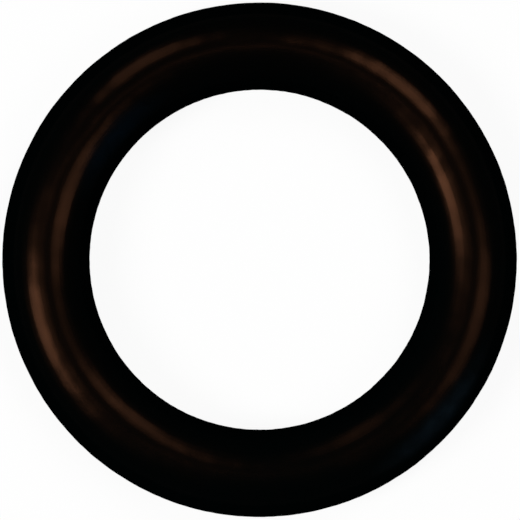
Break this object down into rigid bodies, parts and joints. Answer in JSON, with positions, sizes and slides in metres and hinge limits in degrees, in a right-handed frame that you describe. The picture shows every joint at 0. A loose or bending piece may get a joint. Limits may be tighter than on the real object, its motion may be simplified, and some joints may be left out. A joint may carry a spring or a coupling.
{
  "type": "seal ring",
  "caption": "Round-section rubber seal ring, moulded whole, with a fine parting line around its inside and outside.",
  "frame": {"origin": "the ring's centre, on its axis and at half its height, in the plane of its parting line", "axes": "+Z along the ring's axis, up as it lies flat; X and Y lie in the plane of its parting line"},
  "size_m": [0.021, 0.021, 0.0036],
  "materials": {
    "rubber": "moulded black nitrile rubber, satin to softly glossy, with a fine parting line"
  },
  "bodies": {
    "root": {"seal_ring": "rubber"}
  },
  "joints": []
}
